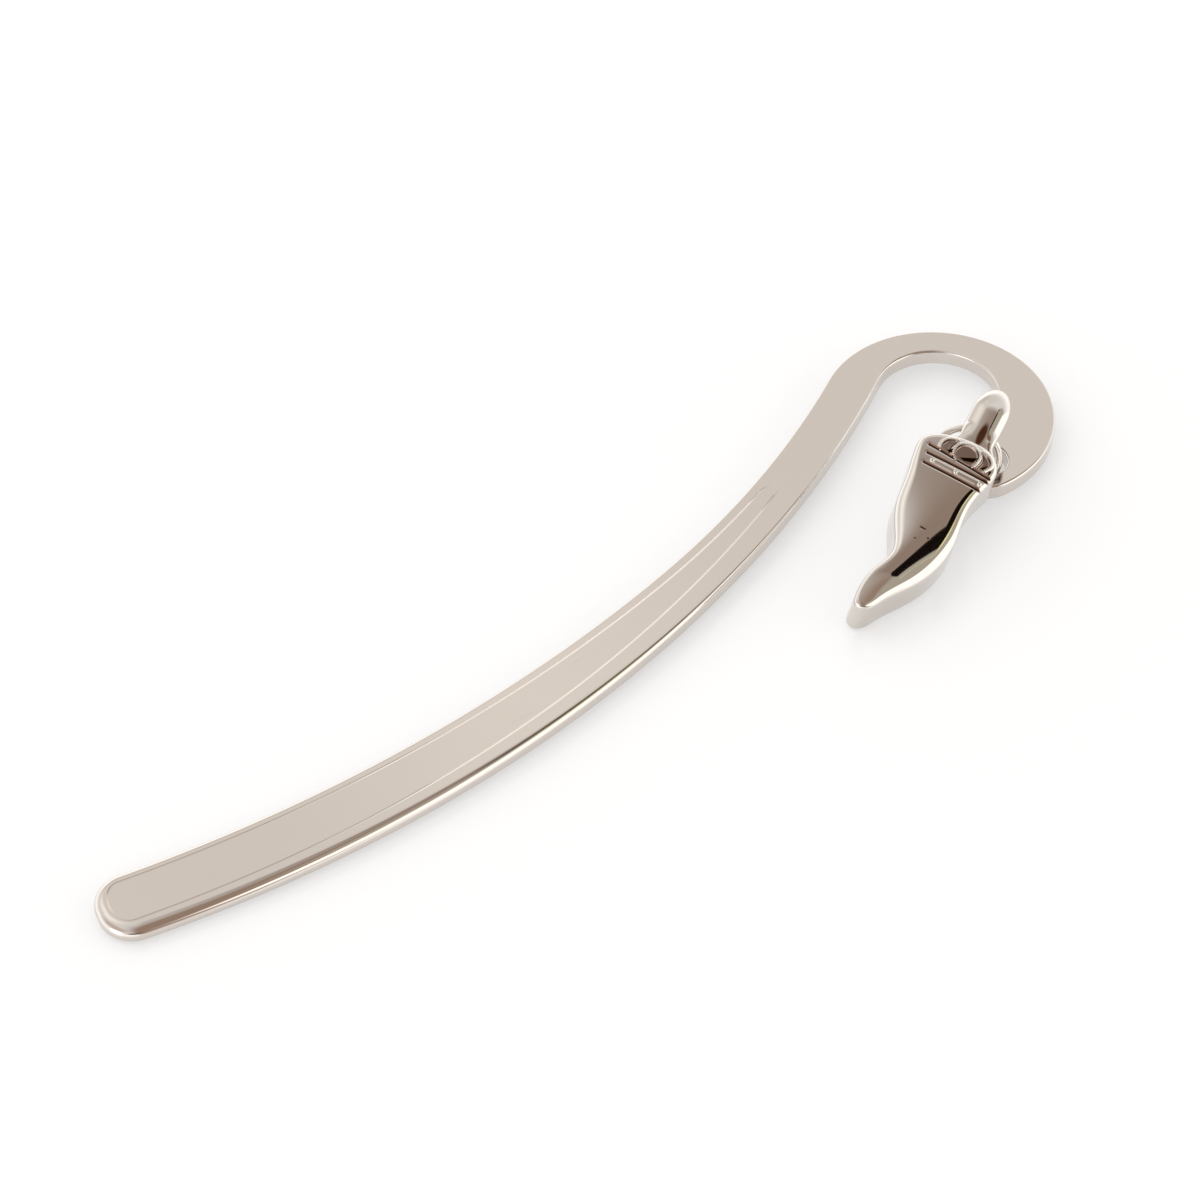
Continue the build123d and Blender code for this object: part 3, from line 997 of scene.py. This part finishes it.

# %% [markdown]
# ## Painted shade and bodies
# The cut lines, sunk panels and casting pits are painted darker, as painted shade, and the hollows where
# the panels dive under the band are painted near black, as a painted dark reflection. A patch on the bail
# near its root is painted darker too. That could be painted on by hand. A value on each point follows the
# carving by itself. Then each finer piece takes the place of its CAD node and moves with that node's body.

# %% Painted shade in the recesses
# How strongly shade is painted into the plating, and how dark the patch on the bail is.
deep_painted_shade, panel_painted_shade, bail_patch_darkness = 0.95, 0.3, 0.65
cut_shade_width, shade_reach, dark_reflection_edge = 1.2 * cut_width, 0.3, 0.1
patch_middle, patch_half = (horn_length + 1.5, bail_middle - 0.25), (1.9, 0.5)
patch_edge, patch_blur = 1.1, 0.6


def painted_shade(points):
    """Painted shade at face points: pits, cut lines, panels, and a painted dark reflection in the hollows.
    """
    dull = deep_painted_shade * pitting(points)
    for line in cut_lines:
        dull = np.maximum(dull, deep_painted_shade * np.exp(-((distance_to(points, line) / cut_shade_width) ** 2)))
    for loop in panel_loops:
        dull = np.maximum(dull, np.where(inside(points, [loop]), panel_painted_shade, 0))
    for hollow in painted_dark_reflections:
        loop = np.array(hollow)
        rim = distance_to(points, np.vstack([loop, loop[:1]]))
        dull = np.maximum(dull, np.where(inside(points, [loop]), smooth_step(rim / dark_reflection_edge), 0))
    return dull


horn_mesh_points = np.vstack(charm_shell["points"])
horn_plan_points = horn_mesh_points[:, :2]
below_face = face_height(horn_plan_points) - horn_mesh_points[:, 2]
# Painted shade on the horn's face, faded out below it; then a darker patch on the bail's top.
painted_shade_and_dark_patch = np.zeros(len(charm_piece.data.vertices))
painted_shade_and_dark_patch[: len(horn_mesh_points)] = painted_shade(horn_plan_points) * smooth_step(1 - below_face / shade_reach)
# A darker patch is painted on the top of the bail, near its root.
bail_points = np.vstack(bail_shell["points"])
patch_spread = np.linalg.norm((bail_points[:, :2] - patch_middle) / patch_half, axis=1)
patch_share = smooth_step((patch_edge - patch_spread) / patch_blur) * (bail_points[:, 2] > slot_middle_z)
painted_shade_and_dark_patch[len(horn_mesh_points) :] = bail_patch_darkness * patch_share
charm_piece.data.attributes.new("painted_shade_and_dark_patch", "FLOAT", "POINT").data.foreach_set("value", painted_shade_and_dark_patch)
print("points in dark recesses", int((painted_shade_and_dark_patch > 0.5).sum()), "of", len(painted_shade_and_dark_patch))

# %% Materials, bodies and slots
hook_piece.data.materials.append(hook_nickel)
charm_piece.data.materials.append(charm_nickel)
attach(hook_piece, "hook")
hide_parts("hook_blade")
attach(ring_piece, "ring")
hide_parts("jump_ring")
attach(charm_piece, "charm")
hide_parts("horn_charm")
for piece in (arch_beads, band_beads):
    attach(piece, "charm")

# %% [markdown]
# ## The table and the light
# Polished metal has hardly a colour of its own: what it shows is the room. A white table and pale walls
# make it bright, and a few darker places high up give it its grey face and black lines. A real studio has
# cards and lamps there. Here the room is painted by direction on the world, so that each place can be set
# by itself, and two wide soft lights, from above and from the back left, give the faint shadows.

# %% A pale, slightly glossy table, softly lit from below
table_half, table_glow, table_roughness = 1.5, 0.47, 0.22
table_mesh = bpy.data.meshes.new("pale_table")
table_corners = [(-1, -1), (1, -1), (1, 1), (-1, 1)]
table_mesh.from_pydata([(x * table_half, y * table_half, 0) for x, y in table_corners], [], [(0, 1, 2, 3)])
table = add_object("pale_table", table_mesh)
table_material = bpy.data.materials.new("white_acrylic_sheet")
table_material.use_nodes = True
table_shader = table_material.node_tree.nodes["Principled BSDF"]
table_shader.inputs["Base Color"].default_value = to_linear("#A6A6A6")
table_shader.inputs["Emission Color"].default_value = to_linear("#FDFEFF")
table_shader.inputs["Emission Strength"].default_value = table_glow
table_shader.inputs["Roughness"].default_value = table_roughness
table_mesh.materials.append(table_material)
print("table of", 2 * table_half, "m with", table_material.name)

# %% The room, painted by direction
world = bpy.data.worlds.new("pale_studio")
bpy.context.scene.world = world
world.use_nodes = True
sky = world.node_tree
sky.nodes.clear()
direction = add_node(sky, "ShaderNodeTexCoord").outputs["Generated"]
height = add_node(sky, "ShaderNodeSeparateXYZ", None, {"Vector": direction}).outputs["Z"]


def soft_range(value, start, end, first, last):
    """A soft change from a first to a last value, as a value goes from start to end."""
    sizes = {"From Min": start, "From Max": end, "To Min": first, "To Max": last}
    links = {"Value": value}
    node = add_node(sky, "ShaderNodeMapRange", sizes, links, interpolation_type="SMOOTHSTEP")
    return node.outputs["Result"]


def along_way(way):
    """How far a direction of the room goes along a way."""
    node = add_node(sky, "ShaderNodeVectorMath", {1: way}, {0: direction}, operation="DOT_PRODUCT")
    return node.outputs["Value"]


wall_glow, ceiling_glow = 1.45, 0.95
wall_end, ceiling_start = 0.1, 0.55
glow_share = soft_range(height, wall_end, ceiling_start, wall_glow, ceiling_glow)
plain_room = add_node(sky, "ShaderNodeCombineXYZ", None, {axis: glow_share for axis in "XYZ"})
room = plain_room.outputs["Vector"]


def paint(room, middle, level_way, half_long, half_wide, core, colour, strength):
    """Paints a soft oval: middle, long way, half angles in degrees, hard share, colour and strength."""
    middle = unit(np.array(middle))
    long_way = unit(np.array(level_way) - middle * (middle @ level_way))
    wide_way = np.cross(middle, long_way)
    behind = add_node(sky, "ShaderNodeMath", {1: 0.0}, {0: along_way(middle)}, operation="LESS_THAN")
    reach = {
        "X": along_way(long_way / sin(radians(half_long))),
        "Y": along_way(wide_way / sin(radians(half_wide))),
        "Z": behind.outputs["Value"],
    }
    oval = add_node(sky, "ShaderNodeCombineXYZ", None, reach)
    away = add_node(sky, "ShaderNodeVectorMath", None, {0: oval.outputs["Vector"]}, operation="LENGTH")
    share = soft_range(away.outputs["Value"], core, 1.0, 1.0, 0.0)
    shade = [part * strength for part in to_linear(colour)[:3]] + [1.0]
    mix = {"Factor": share, "A": room}
    return add_node(sky, "ShaderNodeMix", {"B": shade}, mix, data_type="RGBA").outputs["Result"]


side_way = (0.72, 0.62, -0.31)
ovals = (
    # Warm grey at the front and pale beige at the left
    ((0.15, -0.75, 0.65), (1, 0, 0), 55, 75, 0.5, "#AA9485", 1.0),
    ((-0.68, 0.10, 0.73), (0, 1, 0), 45, 18, 0.5, "#DCCFC6", 1.0),
    # The pale card that the flat plate mirrors, and a brighter streak on it
    ((0.37, 0.54, 0.756), (1, 0, 0), 34, 22, 0.6, "#F3EEE9", 1.0),
    ((0.37, 0.545, 0.75), (1, 0, 0), 4.5, 12, 0.0, "#F4EFEA", 1.14),
    # The grey that the horn's face mirrors
    ((0.40, -0.06, 0.915), side_way, 15, 30, 0.1, "#A49286", 1.0),
    # A lamp at the left and a dark place at the front left, which show at the blade's tip
    ((-0.95, -0.12, 0.28), (0, 1, 0), 21, 15, 0.7, "#FFFFFF", 2.2),
    ((-0.49, -0.79, 0.37), (0.78, -0.476, 0), 29, 8, 0.5, "#5A3F35", 1.0),
    # Grey, brown, black, yellow and white, which make the bands along the horn's near edge
    ((0.54, -0.45, 0.71), side_way, 30, 16, 0.7, "#C2BBAE", 1.0),
    ((0.641, -0.11, 0.76), (1, -0.3, -0.8), 11, 5, 0.4, "#8E6C57", 1.0),
    ((0.499, -0.252, 0.828), side_way, 8.5, 8.0, 0.86, "#17110F", 1.0),
    ((0.533, -0.388, 0.749), side_way, 7, 3.0, 0.5, "#F4F1AE", 1.2),
    ((0.60, -0.75, 0.284), side_way, 40, 22, 0.84, "#FFFCF8", 1.7),
    # Pale places at the back, which show on the far edges
    ((0.33, 0.74, 0.58), (1, 0, 0), 26, 9, 0.3, "#E6DEDA", 1.0),
    ((0.45, 0.86, 0.25), (1, 0, 0), 34, 10, 0.6, "#FFFDFA", 1.65),
    ((-0.05, 0.60, 0.80), (1, 0, 0), 20, 22, 0.2, "#FFFAF4", 1.3),
)
for oval_shape in ovals:
    room = paint(room, *oval_shape)
glow = add_node(sky, "ShaderNodeBackground", {"Strength": 1.0}, {"Color": room})
add_node(sky, "ShaderNodeOutputWorld", None, {"Surface": glow.outputs["Background"]})
print("ovals painted on the room", len(ovals))

# %% Two wide soft lights
def stand_at(spot, back, side):
    """A place whose own -Z axis looks away from back, with its own X axis along side."""
    place = np.eye(4)
    place[:3, :3] = np.column_stack([side, np.cross(back, side), back])
    place[:3, 3] = spot
    return Matrix(place.tolist())


def add_softbox(name, way, angle, energy):
    """A wide soft light from a direction. The painted room stands for it in the reflections."""
    light = bpy.data.lights.new(name, "SUN")
    light.angle = radians(angle)
    light.energy = energy
    softbox = add_object(name, light)
    back = unit(np.array(way))
    softbox.matrix_world = stand_at(back, back, unit(np.cross([0, 1, 0], back)))
    softbox.visible_glossy = False
    print(name, "of", angle, "degrees")


add_softbox("back_left_softbox", (-0.35, 0.45, 0.6), 60, 0.6)
add_softbox("ceiling_softbox", (0.0, 0.0, 1.0), 150, 1.3)
bpy.context.scene.view_settings.view_transform = "Standard"

# %% [markdown]
# ## The camera
# A long lens looks down at the table at about 47 degrees, over the blade's tip. Its place, in mm, and its
# directions are given in the row frame.

# %% The camera's place
camera_spot = np.array([-171.759, -228.340, 313.421])
camera_forward = np.array([0.410535, 0.544423, -0.731482])
camera_right = np.array([0.803816, -0.594820, 0.008422])
camera_data = bpy.data.cameras.new("camera")
camera_data.lens = 120
camera_data.sensor_width = 36
camera_data.clip_start, camera_data.clip_end = 0.01, 10
camera = add_object("camera", camera_data)
camera.matrix_world = stand_at(camera_spot * MM, -camera_forward, camera_right)
bpy.context.scene.camera = camera
print("camera at", camera_spot, "mm with a lens of", camera_data.lens, "mm")
